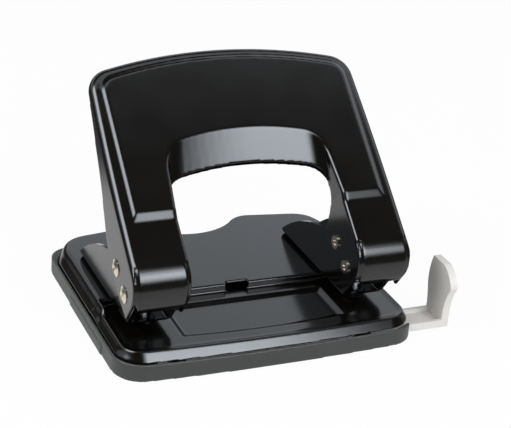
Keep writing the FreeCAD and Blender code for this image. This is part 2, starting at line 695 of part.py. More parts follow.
def cutout_wire(grow, back, level):
    """Outline of the cut-out, with its upper end moved back towards the legs."""
    shoulder = mm.cutout_corner_length - back
    crown = mm.cutout_top - back + grow
    foot = -2 * mm.lever_leg_length
    half_top = leg_half(shoulder) + grow
    half_foot = mm.leg_inner + grow
    shoulder += grow
    right = [
        Vector(half_foot, foot, level),
        Vector(half_foot, mm.lever_leg_length, level),
        Vector(half_top, shoulder, level),
    ]
    left = [Vector(-point.x, point.y, level) for point in reversed(right)]
    edges = [Part.makeLine(start, end) for start, end in zip(right, right[1:])]
    edges.append(Part.Arc(right[-1], Vector(0, crown, level), left[0]).toShape())
    edges += [Part.makeLine(start, end) for start, end in zip(left, left[1:] + right[:1])]
    prism = Part.Face(Part.Wire(edges)).extrude(UP)
    ends = upright_edges(prism, lambda point: abs(point.y - shoulder) < TOUCH)
    prism = prism.makeFillet(mm.cutout_radius + grow, ends)
    return min(prism.Faces, key=lambda face: face.CenterOfMass.z).OuterWire


def cutout_tool(grow, drop):
    """Everything the cut-out removes: a sloped lip at its upper end, then straight through."""
    top = mm.field_rise - drop
    depth = mm.flange_sole_depth + mm.lever_leg_length
    wide = cutout_wire(grow, 0, top)
    narrow = cutout_wire(grow, mm.lip_length, top - mm.lip_depth)
    lip = Part.makeLoft([wide, narrow], True, True)
    bottom = cutout_wire(grow, mm.lip_length, top - mm.lip_depth)
    through = Part.Face(bottom).extrude(-UP * depth)
    mouth = Part.Face(wide).extrude(UP * depth)
    return lip.fuse([through, mouth])


def field_wire(spread, level):
    """Outline of the embossed field."""
    half = mm.field_half_width - spread * mm.field_side
    shoulder = mm.field_corner_length - spread * mm.field_side
    crown = mm.field_top - spread * mm.field_side
    foot = mm.field_bottom + spread * mm.field_border
    right = Vector(half, shoulder, level)
    left = Vector(-half, shoulder, level)
    edges = [
        Part.makeLine(Vector(half, foot, level), right),
        Part.Arc(right, Vector(0, crown, level), left).toShape(),
        Part.makeLine(left, Vector(-half, foot, level)),
        Part.makeLine(Vector(-half, foot, level), Vector(half, foot, level)),
    ]
    prism = Part.Face(Part.Wire(edges)).extrude(UP)
    ends = upright_edges(prism, lambda point: abs(point.y - shoulder) < TOUCH)
    prism = prism.makeFillet(mm.field_radius - spread * mm.field_side, ends)
    return min(prism.Faces, key=lambda face: face.CenterOfMass.z).OuterWire


def field(drop):
    """Raised field with sloped borders."""
    return Part.makeLoft([field_wire(0, -drop), field_wire(1, mm.field_rise - drop)], True, True)


def side_silhouette():
    """Side view of the flanges: free edge, sole, toe and a front edge that follows the roll."""
    reach = mm.lever_length + mm.lever_leg_length
    high = mm.lever_leg_length
    front = mm.drum_radius - mm.flange_setback
    top_corner = Vector(0, reach, high)
    top_edge = Vector(0, reach, -mm.flange_top_depth)
    heel = Vector(0, mm.flange_heel_at, -mm.flange_heel_depth)
    sole = Vector(0, mm.flange_sole_at, -mm.flange_sole_depth)
    toe = Vector(0, -mm.flange_toe, -mm.flange_toe_depth)
    roll_axis = Vector(0, mm.drum_start, -mm.drum_radius)
    roll_top = roll_axis + UP * front
    roll_front = roll_axis - ALONG_Y * front
    roll_middle = roll_axis + (UP - ALONG_Y).normalize() * front
    free_edge = Part.BSplineCurve()
    free_edge.interpolate([
        Vector(0, mm.lever_length - mm.flange_top_length, -mm.flange_top_depth),
        Vector(0, mm.flange_mid_at, -mm.flange_mid_depth),
        Vector(0, mm.flange_knee_at, -mm.flange_knee_depth),
        heel,
        sole,
    ])
    return Part.Wire([
        Part.makeLine(top_corner, top_edge),
        Part.makeLine(top_edge, free_edge.StartPoint),
        free_edge.toShape(),
        Part.makeLine(sole, toe),
        Part.makeLine(toe, roll_front),
        Part.Arc(roll_front, roll_middle, roll_top).toShape(),
        Part.makeLine(roll_top, Vector(0, mm.drum_start, high)),
        Part.makeLine(Vector(0, mm.drum_start, high), top_corner),
    ])


def inner_trim():
    """What is cut off below the free edge of the inner flanges and the lip."""
    deep = mm.flange_sole_depth + mm.lever_leg_length
    far = mm.cutout_top + mm.lip_length
    edge = Part.BSplineCurve()
    edge.interpolate([
        Vector(0, far, -mm.inner_lip_depth),
        Vector(0, mm.inner_lip_at, -mm.inner_lip_depth),
        Vector(0, mm.inner_knee_at, -mm.inner_knee_depth),
        Vector(0, mm.inner_heel_at, -mm.inner_heel_depth),
        Vector(0, mm.flange_sole_at, -mm.flange_sole_depth),
    ])
    wire = Part.Wire([
        edge.toShape(),
        Part.makeLine(edge.EndPoint, Vector(0, mm.flange_sole_at, -deep)),
        Part.makeLine(Vector(0, mm.flange_sole_at, -deep), Vector(0, far, -deep)),
        Part.makeLine(Vector(0, far, -deep), edge.StartPoint),
    ])
    half = mm.leg_inner + 2 * mm.lever_sheet
    tool = Part.Face(wire).extrude(ALONG_X * 2 * half)
    tool.translate(Vector(-half, 0, 0))
    return tool


def ribbon(start, heading, steps, thickness):
    """Face of a bent strip in the yz plane; each step is (length,) or (outer radius, turn in degrees)."""
    outer, inner = [], []
    place = start
    angle = heading

    def square(turn):
        return Vector(0, -math.sin(math.radians(turn)), math.cos(math.radians(turn)))

    def ahead(turn):
        return Vector(0, math.cos(math.radians(turn)), math.sin(math.radians(turn)))

    for step in steps:
        below = square(angle) * thickness
        if len(step) == 1:
            finish = place + ahead(angle) * step[0]
            outer.append(Part.makeLine(place, finish))
            inner.append(Part.makeLine(place + below, finish + below))
            place = finish
            continue
        radius, turn = step
        centre = place + square(angle) * radius
        ends = [centre - square(angle + turn * share) * radius for share in (0, 0.5, 1)]
        inside = [centre - square(angle + turn * share) * (radius - thickness) for share in (0, 0.5, 1)]
        outer.append(Part.Arc(*ends).toShape())
        inner.append(Part.Arc(*inside).toShape())
        angle += turn
        place = ends[-1]
    caps = [
        Part.makeLine(outer[0].Vertexes[0].Point, inner[0].Vertexes[0].Point),
        Part.makeLine(place, place + square(angle) * thickness),
    ]
    return Part.Face(Part.Wire(Part.__sortEdges__(outer + inner + caps)))


def drum(sign):
    """Front of one leg, rolled down over the bracket and curled under at its lower edge."""
    near = mm.leg_inner + mm.lever_sheet + mm.drum_inner_gap
    far = mm.lever_half_width - mm.lever_sheet - mm.drum_gap
    root = mm.lever_sheet
    start = Vector(0, mm.drum_start + root, 0)
    steps = [
        (root,),
        (mm.drum_radius, 90 - mm.lever_angle + mm.drum_turn),
        (mm.drum_face,),
        (mm.drum_curl, mm.drum_curl_turn),
    ]
    strip = ribbon(start, 180, steps, mm.lever_sheet).extrude(ALONG_X * (far - near))
    lower = min(strip.Faces, key=lambda face: face.CenterOfMass.z)
    corners = [edge for edge in lower.Edges if edge.BoundBox.XLength < TOUCH]
    strip = strip.makeFillet(mm.drum_corner, corners)
    strip.translate(Vector(near if sign > 0 else -far, 0, 0))
    return strip


def rounded_mouth(shape):
    """Rounds the outer edge round the cut-out, over legs and field alike."""
    rim = [edge for edge in shape.Edges if edge_of_mouth(edge)]
    return shape.makeFillet(mm.cutout_bend, rim)


def edge_of_mouth(edge):
    """True for an edge of the plate's outer skin that borders the cut-out."""
    box = edge.BoundBox
    inside = max(-box.XMin, box.XMax) < mm.leg_inner + TOUCH and box.YMax < mm.cutout_top + TOUCH
    return inside and box.ZMin > -TOUCH


def lever_shell():
    """Pressed shell: plate, long flanges, cut-out with a sloped lip, embossed field and rolled fronts."""
    sheet_metal = mm.lever_sheet
    deep = mm.flange_sole_depth + mm.lever_leg_length
    outside = lever_prism(0, mm.lever_bend, -deep, 0).fuse(field(0)).cut(cutout_tool(0, 0))
    outside = rounded_mouth(outside.removeSplitter())
    inside = lever_prism(sheet_metal, mm.lever_bend - sheet_metal, -2 * deep, -sheet_metal)
    inside = inside.fuse(field(sheet_metal)).cut(cutout_tool(sheet_metal, sheet_metal))
    shell = outside.cut(inside)
    width = 2 * mm.lever_half_width
    keep = Part.Face(side_silhouette()).extrude(ALONG_X * 2 * width)
    keep.translate(Vector(-width, 0, 0))
    shell = shell.common(keep).cut(inner_trim())
    inner, outer = mm.leg_inner + sheet_metal, mm.lever_half_width - sheet_metal
    for _, sign in SIDES:
        across = (inner, outer) if sign > 0 else (-outer, -inner)
        shell = shell.cut(block(across, (-deep, mm.drum_start), (-deep, deep)))
        shell = shell.fuse(drum(sign))
    bores = ((0, 0), (mm.arm_y, mm.arm_z))
    tilt = Rotation(ALONG_X, -mm.lever_angle)
    for rise_y, rise_z in bores:
        offset = tilt.multVec(Vector(0, rise_y, rise_z))
        middle = Vector(-width, mm.lever_back + offset.y, offset.z - mm.lever_drop)
        shell = shell.cut(Part.makeCylinder(mm.rivet_diameter / 2, 2 * width, middle, ALONG_X))
    return shell.removeSplitter()


def lever():
    """The shell set on the fulcrum at its rest angle."""
    turn = Rotation(ALONG_X, mm.lever_angle)
    pivot = Vector(0, mm.fulcrum_y, mm.fulcrum_z)
    arm = turn.multVec(Vector(0, mm.lever_back, -mm.lever_drop))
    feature = shell_part("lever", lever_shell())
    feature.Placement = Placement(pivot - arm, turn)


lever()


# ---------------------------------------------------------------- turned and stamped small parts
def drive_point():
    """Expressions for the drive rivet's place."""
    return "fulcrum_y + arm_y", "fulcrum_z + arm_z"


def rivet(name, sign, y, z):
    """Hollow rivet through the lever's two flanges and both cheeks of one bracket."""
    body = new_body(name)
    profile = new_sketch(body, "XY_Plane", name + "_profile")
    inner = "leg_inner"
    outer = "lever_half_width"
    tail = f"{inner} - rivet_tail_height"
    draw_loop(profile, [
        (tail, "rivet_bore / 2"),
        (tail, "rivet_tail / 2"),
        (inner, "rivet_tail / 2"),
        (inner, "rivet_diameter / 2"),
        (outer, "rivet_diameter / 2"),
        (outer, "rivet_head / 2"),
        (f"{outer} + rivet_head_height / 3", "rivet_head / 2"),
        (f"{outer} + rivet_head_height", "rivet_dimple / 2"),
        (f"{outer} + rivet_head_height / 2", "0"),
        (f"{inner} + rivet_bore", "0"),
    ])
    turned = body.newObject("PartDesign::Revolution", name + "_turned")
    turned.Profile = profile
    turned.ReferenceAxis = (profile, ["H_Axis"])
    turned.Angle = 360
    place(body, y=y, z=z)
    if sign < 0:
        body.setExpression("Placement.Rotation.Angle", "180")
        body.Placement = Placement(body.Placement.Base, Rotation(UP, 180))


def punch_pin(name, sign):
    """Ground punch with a concave cutting face and a head that is slotted for the drive rivet."""
    body = new_body(name)
    profile = new_sketch(body, "XZ_Plane", name + "_profile")
    tip = "table_height + punch_tip"
    drive = "fulcrum_z + arm_z"
    draw_loop(profile, [
        ("0", f"{tip} + punch_hollow"),
        ("punch_diameter / 2", tip),
        ("punch_diameter / 2", f"{drive} - punch_head_below"),
        ("punch_head / 2", f"{drive} - punch_head_below"),
        ("punch_head / 2", f"{drive} + punch_head_above"),
        ("0", f"{drive} + punch_head_above"),
    ])
    turned = body.newObject("PartDesign::Revolution", name + "_turned")
    turned.Profile = profile
    turned.ReferenceAxis = (profile, ["V_Axis"])
    turned.Angle = 360
    doc.recompute()
    slot = new_sketch(body, "YZ_Plane", name + "_slot", "-punch_head")
    rest = "arm_y - punch_y"
    near = f"{rest} - rivet_diameter / 2 - slot_slack"
    far = f"{rest} + rivet_diameter / 2 + slot_run"
    low = f"{drive} - rivet_diameter / 2 - slot_slack"
    high = f"{drive} + rivet_diameter / 2 + slot_slack"
    draw_loop(slot, [(near, low), (far, low), (far, high), (near, high)])
    add_feature(body, "Pocket", name + "_cross_slot", slot, Length="punch_head * 2", Reversed=True)
    place(body, x=f"{sign} * hole_spacing / 2", y="fulcrum_y + punch_y")


def spring_washer(name, sign):
    """Flat washer on the punch between the return spring and the punch's head."""
    body = new_body(name)
    seat = "fulcrum_z + arm_z - punch_head_below - washer_height"
    ring = new_sketch(body, "XY_Plane", name + "_ring", seat)
    draw_circle(ring, "0", "0", "washer_diameter / 2")
    draw_circle(ring, "0", "0", "punch_diameter / 2 + running_clearance")
    add_feature(body, "Pad", name + "_disc", ring, Length="washer_height")
    place(body, x=f"{sign} * hole_spacing / 2", y="fulcrum_y + punch_y")


def spring_ends():
    """Lower and upper seat of the return spring."""
    low = mm.table_height + mm.bracket_web
    high = mm.fulcrum_z + mm.arm_z - mm.punch_head_below - mm.washer_height
    return low, high


def spring(name, sign):
    """Return spring: an open helix between the bracket's web and the spring washer."""
    low, high = spring_ends()
    wire_radius = mm.spring_wire / 2
    rise = high - low - mm.spring_wire
    radius = mm.spring_diameter / 2
    steps = int(mm.spring_turns * mm.spring_steps)
    line = []
    for step in range(steps + 1):
        around = direction(360 * step / mm.spring_steps) * radius
        line.append(around + UP * (rise * step / steps))
    corners = []
    for corner in range(WIRE_SIDES + 1):
        spread = direction(360 * corner / WIRE_SIDES) * wire_radius
        corners.append(Vector(radius + spread.x, 0, spread.y))
    section = Part.makePolygon(corners)
    coil = Part.makePolygon(line).makePipeShell([section], True, True, MITRED)
    feature = shell_part(name, coil)
    foot = Vector(sign * mm.hole_spacing / 2, mm.fulcrum_y + mm.punch_y, low + wire_radius)
    feature.Placement = Placement(foot, Rotation())


def die_plate(name, sign):
    """Hardened plate under the floor with the cutting hole."""
    body = new_body(name)
    sketch = new_sketch(body, "XY_Plane", name + "_blank", "floor_height - base_sheet - die_height")
    half = "die_width / 2"
    back = "paper_edge_to_hole - 2 * base_sheet"
    draw_loop(sketch, [
        (f"-{half}", f"{back} - die_length"),
        (half, f"{back} - die_length"),
        (half, back),
        (f"-{half}", back),
    ])
    draw_circle(sketch, "0", "0", "punch_diameter / 2 + die_clearance")
    add_feature(body, "Pad", name + "_plate", sketch, Length="die_height")
    place(body, x=f"{sign} * hole_spacing / 2", y="fulcrum_y + punch_y")


for side_name, sign in SIDES:
    rivet("fulcrum_rivet_" + side_name, sign, "fulcrum_y", "fulcrum_z")
    rivet("drive_rivet_" + side_name, sign, *drive_point())
    punch_pin("punch_pin_" + side_name, sign)
    spring_washer("spring_washer_" + side_name, sign)
    spring("spring_" + side_name, sign)
    die_plate("die_plate_" + side_name, sign)


# ---------------------------------------------------------------- rivets between bracket and base
def seat_rivets(name, sign):
    """Two solid rivets with round heads through the bracket's web and the table."""
    radius = mm.seat_rivet_diameter / 2
    head = mm.seat_rivet_head / 2
    top = mm.table_height + mm.bracket_web
    low = mm.table_height - mm.base_sheet
    profile = [
        Vector(0, 0, low - mm.seat_rivet_height), Vector(head, 0, low), Vector(radius, 0, low),
        Vector(radius, 0, top), Vector(head, 0, top), Vector(0, 0, top + mm.seat_rivet_height),
    ]
    edges = [Part.makeLine(start, end) for start, end in zip(profile, profile[1:] + profile[:1])]
    turned = Part.Face(Part.Wire(edges)).revolve(Vector(), UP, 360)
    rivets = []
    for along in seat_rivet_places():
        copy = turned.copy()
        copy.translate(Vector(sign * mm.hole_spacing / 2, along, 0))
        rivets.append(copy)
    shell_part(name, Part.makeCompound(rivets))


for side_name, sign in SIDES:
    seat_rivets("bracket_rivets_" + side_name, sign)


# ---------------------------------------------------------------- paper guide and its runners
def paper_guide():
    """Plastic channel that slides out of the base, with an upright stop at its outer end."""
    body = new_body("paper_guide")
    front = "guide_y - guide_width / 2"
    back = "guide_y + guide_width / 2"
    top = f"{GUIDE_BOTTOM} + guide_height"
    bar = new_sketch(body, "YZ_Plane", "guide_section", "guide_end - guide_length")
    draw_loop(bar, [
        (front, GUIDE_BOTTOM),
        (back, GUIDE_BOTTOM),
        (back, top),
        (f"{back} - guide_wall", top),
        (f"{back} - guide_wall", f"{GUIDE_BOTTOM} + guide_wall"),
        (f"{front} + guide_wall", f"{GUIDE_BOTTOM} + guide_wall"),
        (f"{front} + guide_wall", top),
        (front, top),
    ])
    add_feature(body, "Pad", "guide_bar", bar, Length="guide_length - guide_stop")
    stop = new_sketch(body, "YZ_Plane", "stop_outline", "guide_end - guide_stop")
    crown = f"{GUIDE_BOTTOM} + guide_stop_height"
    neck = f"{GUIDE_BOTTOM} + guide_stop_height / 2"
    draw_loop(stop, [
        (front, GUIDE_BOTTOM),
        (back, GUIDE_BOTTOM),
        (f"{back} + guide_stop_back", neck, "-guide_stop_height * 1.5"),
        (f"{front} + guide_stop_lean + guide_stop_round", crown, "guide_stop_height"),
        (f"{front} + guide_stop_lean - guide_stop_round / 2", crown),
        (f"{front} - guide_stop_belly", f"{neck} + guide_stop_round", "guide_stop_round * 2"),
        (front, f"{GUIDE_BOTTOM} + guide_height", "-guide_stop_height"),
    ])
    add_feature(body, "Pad", "guide_stop_plate", stop, Length="guide_stop")


paper_guide()


def runner(name, sign):
    """Steel strip folded under the floor, with two lips that the guide bar slides on."""
    body = new_body(name)
    section = new_sketch(body, "YZ_Plane", name + "_section", "-runner_length / 2")
    gap = "running_clearance"
    front = f"(guide_y - guide_width / 2 - {gap})"
    back = f"(guide_y + guide_width / 2 + {gap})"
    roof = "floor_height - base_sheet"
    lip = f"({GUIDE_BOTTOM} - {gap})"
    draw_loop(section, [
        (f"{front} - runner_sheet", roof),
        (f"{front} - runner_sheet", f"{lip} - runner_sheet"),
        (f"{front} + runner_lip", f"{lip} - runner_sheet"),
        (f"{front} + runner_lip", lip),
        (front, lip),
        (front, f"{roof} - runner_sheet"),
        (back, f"{roof} - runner_sheet"),
        (back, lip),
        (f"{back} - runner_lip", lip),
        (f"{back} - runner_lip", f"{lip} - runner_sheet"),
        (f"{back} + runner_sheet", f"{lip} - runner_sheet"),
        (f"{back} + runner_sheet", roof),
    ])
    add_feature(body, "Pad", name + "_strip", section, Length="runner_length")
    place(body, x=f"{sign} * runner_x")


for side_name, sign in SIDES:
    runner("guide_runner_" + side_name, sign)


def write_parts():
    """Check every object, then write one STEP file for each sub-part."""
    doc.recompute()
    for item in doc.Objects:
        if {"Invalid", "Error"} & set(item.State):
            raise RuntimeError(f"{item.Name} failed: {item.State}")
    os.makedirs("parts", exist_ok=True)
    for node in NODES:
        if node.Shape.isNull() or not node.Shape.isValid():
            raise RuntimeError(f"{node.Label} has no valid shape")
        node.Shape.exportStep(f"parts/{node.Label}.step")
        print(node.Label, len(node.Shape.Solids), round(node.Shape.Volume, 2))


write_parts()
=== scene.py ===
"""Two-hole desk punch: the finish of every surface, the studio and the camera.

Lengths are metres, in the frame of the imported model: X to the right, Y to the rear, Z up, floor at zero.
The section on pressed and moulded pieces works in millimetres.
"""

import json
import math

import bmesh
import bpy
import numpy as np
from mathutils import Matrix, Vector
from mathutils.bvhtree import BVHTree


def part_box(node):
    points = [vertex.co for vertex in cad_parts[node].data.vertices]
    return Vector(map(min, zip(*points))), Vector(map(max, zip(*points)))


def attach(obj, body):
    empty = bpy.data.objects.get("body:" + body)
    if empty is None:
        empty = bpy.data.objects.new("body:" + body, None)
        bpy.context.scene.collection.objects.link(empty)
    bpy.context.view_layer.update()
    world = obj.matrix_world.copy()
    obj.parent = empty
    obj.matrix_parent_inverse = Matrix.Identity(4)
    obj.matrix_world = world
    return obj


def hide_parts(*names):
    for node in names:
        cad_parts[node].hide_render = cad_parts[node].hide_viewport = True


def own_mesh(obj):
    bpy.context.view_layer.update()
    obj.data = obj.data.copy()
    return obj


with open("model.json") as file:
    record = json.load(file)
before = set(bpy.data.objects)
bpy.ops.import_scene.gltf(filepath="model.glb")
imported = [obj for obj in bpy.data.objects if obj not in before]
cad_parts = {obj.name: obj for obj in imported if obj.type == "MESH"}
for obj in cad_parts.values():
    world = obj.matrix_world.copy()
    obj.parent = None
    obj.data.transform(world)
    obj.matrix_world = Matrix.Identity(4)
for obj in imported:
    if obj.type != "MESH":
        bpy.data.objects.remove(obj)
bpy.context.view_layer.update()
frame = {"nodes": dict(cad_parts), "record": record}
NODES = frame["nodes"]
RECORD = frame["record"]
BODY_OF = {node: body for body, nodes in RECORD["behaviour"]["bodies"].items() for node in nodes}
SLOT_OF = {part["node"]: part["material_slot"] for part in RECORD["subparts"]}

MM = 0.001
WHITE = (1.0, 1.0, 1.0)


def placed(name, data):
    """A new object in the scene."""
    made = bpy.data.objects.new(name, data)
    bpy.context.scene.collection.objects.link(made)
    return made


def toward(azimuth, elevation):
    """The direction at two angles in degrees: azimuth 0 is the front, positive to the right."""
    turn, rise = math.radians(azimuth), math.radians(elevation)
    return Vector((math.sin(turn) * math.cos(rise), -math.cos(turn) * math.cos(rise), math.sin(rise)))


# ---------------------------------------------------------------- camera

AZIMUTH = -25.048
ELEVATION = 25.209
ROLL = math.radians(5.151)
IMAGE_WIDTH = 511
FOCAL_PIXELS = 1499.5
SENSOR_WIDTH = 36.0
CAMERA_DISTANCE = 528.57 * MM
CAMERA_TARGET = Vector((6.263, -5.5, 36.665)) * MM
CLIP_START = 0.01
CLIP_END = 20.0


def make_camera():
    """The viewpoint of the photo, with its slight roll."""
    back = toward(AZIMUTH, ELEVATION)
    level = Vector((math.cos(math.radians(AZIMUTH)), math.sin(math.radians(AZIMUTH)), 0.0))
    upright = back.cross(level)
    across = level * math.cos(ROLL) + upright * math.sin(ROLL)
    upward = upright * math.cos(ROLL) - level * math.sin(ROLL)
    data = bpy.data.cameras.new("camera")
    data.sensor_width = SENSOR_WIDTH
    data.lens = FOCAL_PIXELS / IMAGE_WIDTH * SENSOR_WIDTH
    data.clip_start = CLIP_START
    data.clip_end = CLIP_END
    camera = placed("camera", data)
    turned = Matrix((across, upward, back)).transposed().to_4x4()
    camera.matrix_world = Matrix.Translation(CAMERA_TARGET + back * CAMERA_DISTANCE) @ turned
    bpy.context.scene.camera = camera


# ---------------------------------------------------------------- shader graphs


class Graph:
    """A shader graph under construction. Its methods give output sockets back."""

    def __init__(self, tree):
        self.tree = tree
        tree.nodes.clear()

    def add(self, kind, **settings):
        """A node with input values or properties set by name."""
        node = self.tree.nodes.new(kind)
        for name, value in settings.items():
            if name in node.inputs:
                node.inputs[name].default_value = value
            else:
                setattr(node, name, value)
        return node

    def join(self, output, socket):
        self.tree.links.new(output, socket)

    def noise(self, place, scale, detail):
        node = self.add("ShaderNodeTexNoise", Scale=scale, Detail=detail)
        self.join(place, node.inputs["Vector"])
        return node.outputs["Fac"]

    def ramp(self, source, start, stop, low, high, shape="SMOOTHSTEP"):
        """Goes from low to high while the source goes from start to stop."""
        node = self.add("ShaderNodeMapRange", interpolation_type=shape)
        node.inputs["From Min"].default_value = start
        node.inputs["From Max"].default_value = stop
        node.inputs["To Min"].default_value = low
        node.inputs["To Max"].default_value = high
        self.join(source, node.inputs["Value"])
        return node.outputs["Result"]

    def tint(self, share, first, second):
        """A colour between two."""
        node = self.add("ShaderNodeMix", data_type="RGBA")
        node.inputs["A"].default_value = (*first, 1.0)
        node.inputs["B"].default_value = (*second, 1.0)
        self.join(share, node.inputs["Factor"])
        return node.outputs["Result"]

    def combine(self, operation, *values):
        """Arithmetic on sockets and plain numbers."""
        node = self.add("ShaderNodeMath", operation=operation)
        for socket, value in zip(node.inputs, values):
            if isinstance(value, float):
                socket.default_value = value
            else:
                self.join(value, socket)
        return node.outputs[0]

    def product(self, result, *factors):
        for factor in factors:
            result = self.combine("MULTIPLY", result, factor)
        return result

    def mix(self, share, first, second):
        """Two shaders by share."""
        node = self.add("ShaderNodeMixShader")
        self.join(share, node.inputs["Fac"])
        self.join(first, node.inputs[1])
        self.join(second, node.inputs[2])
        return node.outputs[0]


# ---------------------------------------------------------------- materials

# Noise runs from about 0.3 to 0.7, which the roughness is spread over.
NOISE_SPAN = (0.3, 0.7)


def finish(name, colours, cloud, rough, smear, grain, bump, **shader):
    """A material whose colour, roughness and relief each follow a noise of (scale, detail).

    colours and rough are (low, high), and bump is (strength, depth in metres).
    """
    material = bpy.data.materials.new(name)
    material.use_nodes = True
    graph = Graph(material.node_tree)
    output = graph.add("ShaderNodeOutputMaterial")
    surface = graph.add("ShaderNodeBsdfPrincipled")
    graph.join(surface.outputs["BSDF"], output.inputs["Surface"])
    place = graph.add("ShaderNodeTexCoord").outputs["Object"]
    graph.join(graph.tint(graph.noise(place, *cloud), *colours), surface.inputs["Base Color"])
    gloss = graph.ramp(graph.noise(place, *smear), *NOISE_SPAN, *rough, shape="LINEAR")
    graph.join(gloss, surface.inputs["Roughness"])
    relief = graph.add("ShaderNodeBump", Strength=bump[0], Distance=bump[1])
    graph.join(graph.noise(place, *grain), relief.inputs["Height"])
    graph.join(relief.outputs["Normal"], surface.inputs["Normal"])
    for setting, value in shader.items():
        surface.inputs[setting.replace("_", " ")].default_value = value
    return material


def black_paint():
    """Gloss black enamel, slightly brown, with the faint orange peel of sprayed paint."""
    return finish(
        "black_paint",
        colours=((0.0020, 0.0017, 0.0013), (0.0034, 0.0029, 0.0024)),
        cloud=(40.0, 2.0),
        rough=(0.15, 0.18),
        smear=(90.0, 4.0),
        grain=(700.0, 1.0),
        bump=(0.05, 0.00005),
        IOR=1.5,
        Coat_Weight=0.0,
    )


def tray_plastic():
    """Dark grey moulded plastic with a fine spark-eroded grain."""
    return finish(
        "tray_plastic",
        colours=((0.030, 0.031, 0.030), (0.040, 0.041, 0.039)),
        cloud=(60.0, 2.0),
        rough=(0.42, 0.56),
        smear=(3000.0, 3.0),
        grain=(3000.0, 3.0),
        bump=(0.35, 0.00006),
    )


def white_plastic():
    """Off-white polypropylene with a soft sheen."""
    return finish(
        "white_plastic",
        colours=((0.74, 0.71, 0.67), (0.78, 0.755, 0.72)),
        cloud=(50.0, 2.0),
        rough=(0.33, 0.42),
        smear=(1200.0, 3.0),
        grain=(1200.0, 3.0),
        bump=(0.12, 0.00004),
        Subsurface_Weight=0.08,
        Subsurface_Scale=0.003,
    )


def metal(name, dark, light, rough):
    """Bare or plated metal with a fine drawn grain."""
    grain = (900.0, 4.0)
    return finish(
        name,
        colours=(dark, light),
        cloud=grain,
        rough=rough,
        smear=grain,
        grain=grain,
        bump=(0.12, 0.00003),
        Metallic=1.0,
    )


def dress():
    """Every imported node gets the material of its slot."""
    finishes = {
        "black_paint": black_paint(),
        "tray_plastic": tray_plastic(),
        "white_plastic": white_plastic(),
        "nickel": metal("nickel", (0.62, 0.55, 0.45), (0.74, 0.68, 0.58), (0.16, 0.28)),
        "bare_steel": metal("bare_steel", (0.46, 0.46, 0.47), (0.58, 0.58, 0.58), (0.22, 0.36)),
        "spring_steel": metal("spring_steel", (0.40, 0.40, 0.42), (0.52, 0.52, 0.54), (0.2, 0.3)),
    }
    for name, node in NODES.items():
        for slot in node.material_slots:
            slot.material = finishes[SLOT_OF[name]]


# ---------------------------------------------------------------- studio

FLOOR_HALF = 3.0
FLOOR_PAPER = (0.86, 0.86, 0.86, 1.0)
# Share of plain white in what the camera sees of the floor. The rest is lit paper with its shadow.
FLOOR_WHITE = 0.965
# Mirrors see the floor white up to the near radius, and dim beyond the far one.
FLOOR_NEAR = 0.12
FLOOR_FAR = 0.175
FLOOR_DIM = 0.15

AMBIENT = 0.28
# The tent that mirrors see, by the parts of a direction: a rear wall with a dark foot, and a roof.
WALL_EDGE = (-0.3, 0.0)
WALL_TOP = (0.60, 0.80)
WALL_FOOT = (0.16, 0.28)
ROOF_FRONT = (-0.135, -0.098)
ROOF_REAR = (0.05, 0.3)
ROOF_FOOT = (0.65, 0.85)
ROOF_GAIN = 1.7
RIGHT_EDGE = (0.3, 0.8)
RIGHT_GAIN = 1.4
DARK_FRONT = 0.08
# The front window, by height, by sine of the azimuth and by depth.
FRONT_FOOT = (0.14, 0.50)
FRONT_HEAD = (0.53, 0.90)
FRONT_LEFT = (-0.26, 0.17)
FRONT_RIGHT = (0.42, 0.62)
FRONT_DEPTH = (-0.2, -0.3)
FRONT_RADIANCE = 12.5
# The left window: azimuth and elevation in degrees, and the cosines between which it fades in.
LEFT_WINDOW = (-84.0, 45.0)
LEFT_EDGE = (0.9135, 0.978)
LEFT_RADIANCE = 10.0
# Dark parts of the room are brownish and bright ones bluish.
TINT_SPAN = (0.1, 0.9)
DARK_TINT = (1.0, 0.92, 0.82)
BRIGHT_TINT = (0.87, 0.93, 1.0)
# Slightly over 1, so that the level part of an upright direction isn't zero.
UNIT = 1.001

LAMP_COLOUR = (0.93, 0.97, 1.0)
LAMP_AIM = Vector((0.0, 0.0, 0.03))
LAMP_DISTANCE = 1.0


def make_floor():
    """White floor that keeps the shadow; mirrors see it white near the object and darker far off."""
    half = FLOOR_HALF
    corners = [(-half, -half, 0), (half, -half, 0), (half, half, 0), (-half, half, 0)]
    mesh = bpy.data.meshes.new("floor")
    mesh.from_pydata(corners, [], [(0, 1, 2, 3)])
    material = bpy.data.materials.new("floor")
    material.use_nodes = True
    graph = Graph(material.node_tree)
    paper = graph.add("ShaderNodeBsdfDiffuse", Color=FLOOR_PAPER)
    white = graph.add("ShaderNodeEmission", Strength=1.0)
    sheet = graph.add("ShaderNodeEmission")
    reach = graph.add("ShaderNodeVectorMath", operation="LENGTH")
    graph.join(graph.add("ShaderNodeTexCoord").outputs["Object"], reach.inputs[0])
    near = graph.ramp(reach.outputs["Value"], FLOOR_NEAR, FLOOR_FAR, 1.0, FLOOR_DIM)
    graph.join(near, sheet.inputs["Strength"])
    path = graph.add("ShaderNodeLightPath")
    seen = graph.product(path.outputs["Is Camera Ray"], FLOOR_WHITE)
    glossy, through = path.outputs["Is Glossy Ray"], path.outputs["Is Transmission Ray"]
    mirrored = graph.combine("MAXIMUM", glossy, through)
    shown = graph.mix(seen, paper.outputs[0], white.outputs[0])
    shown = graph.mix(mirrored, shown, sheet.outputs[0])
    output = graph.add("ShaderNodeOutputMaterial")
    graph.join(shown, output.inputs["Surface"])
    mesh.materials.append(material)
    placed("floor", mesh)


